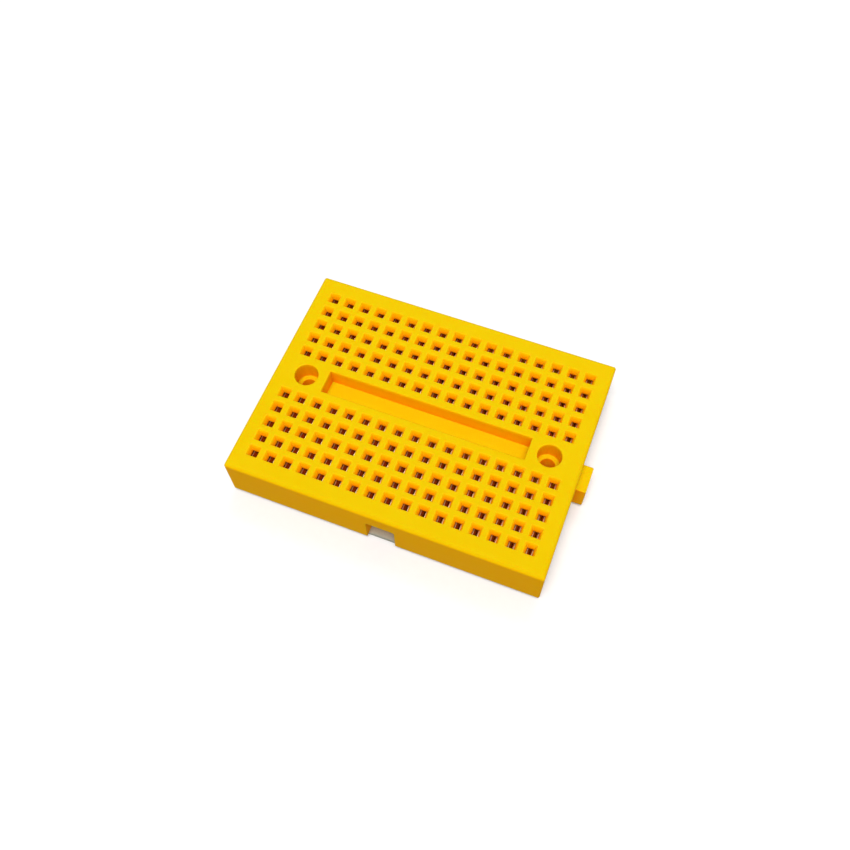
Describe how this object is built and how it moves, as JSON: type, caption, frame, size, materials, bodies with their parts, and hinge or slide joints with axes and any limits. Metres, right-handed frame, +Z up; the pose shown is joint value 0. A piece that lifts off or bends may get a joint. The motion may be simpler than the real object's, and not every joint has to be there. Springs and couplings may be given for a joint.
{
  "type": "solderless breadboard",
  "caption": "Small plastic board with a grid of square spring-contact holes, a centre channel, two screw holes, and side tabs and slots that join it to more boards.",
  "frame": {"origin": "centre of the underside that the board rests on, straight below the middle of the hole grid and half way between the two screw holes", "axes": "+X along the long side towards the short side with a tab, +Y to the rear long side with a tab, +Z up out of the face with the holes"},
  "size_m": [0.0483, 0.0363, 0.0085],
  "materials": {
    "housing_plastic": "satin moulded, opaque yellow",
    "clip_metal": "bright nickel plate over spring bronze",
    "tape_foam": "closed-cell white foam with tacky faces",
    "liner_paper": "silicone-coated release paper"
  },
  "bodies": {
    "board": {"housing": "housing_plastic", "foam_pad": "tape_foam", "clip_rear_01": "clip_metal", "clip_rear_02": "clip_metal", "clip_rear_03": "clip_metal", "clip_rear_04": "clip_metal", "clip_rear_05": "clip_metal", "clip_rear_06": "clip_metal", "clip_rear_07": "clip_metal", "clip_rear_08": "clip_metal", "clip_rear_09": "clip_metal", "clip_rear_10": "clip_metal", "clip_rear_11": "clip_metal", "clip_rear_12": "clip_metal", "clip_rear_13": "clip_metal", "clip_rear_14": "clip_metal", "clip_rear_15": "clip_metal", "clip_rear_16": "clip_metal", "clip_rear_17": "clip_metal", "clip_front_01": "clip_metal", "clip_front_02": "clip_metal", "clip_front_03": "clip_metal", "clip_front_04": "clip_metal", "clip_front_05": "clip_metal", "clip_front_06": "clip_metal", "clip_front_07": "clip_metal", "clip_front_08": "clip_metal", "clip_front_09": "clip_metal", "clip_front_10": "clip_metal", "clip_front_11": "clip_metal", "clip_front_12": "clip_metal", "clip_front_13": "clip_metal", "clip_front_14": "clip_metal", "clip_front_15": "clip_metal", "clip_front_16": "clip_metal", "clip_front_17": "clip_metal"},
    "liner": {"release_liner": "liner_paper"}
  },
  "joints": [
    {"name": "liner_peel", "type": "slide", "parent": "board", "child": "liner", "axis": [0, -1, 0], "range_m": [0, 0.036]}
  ]
}
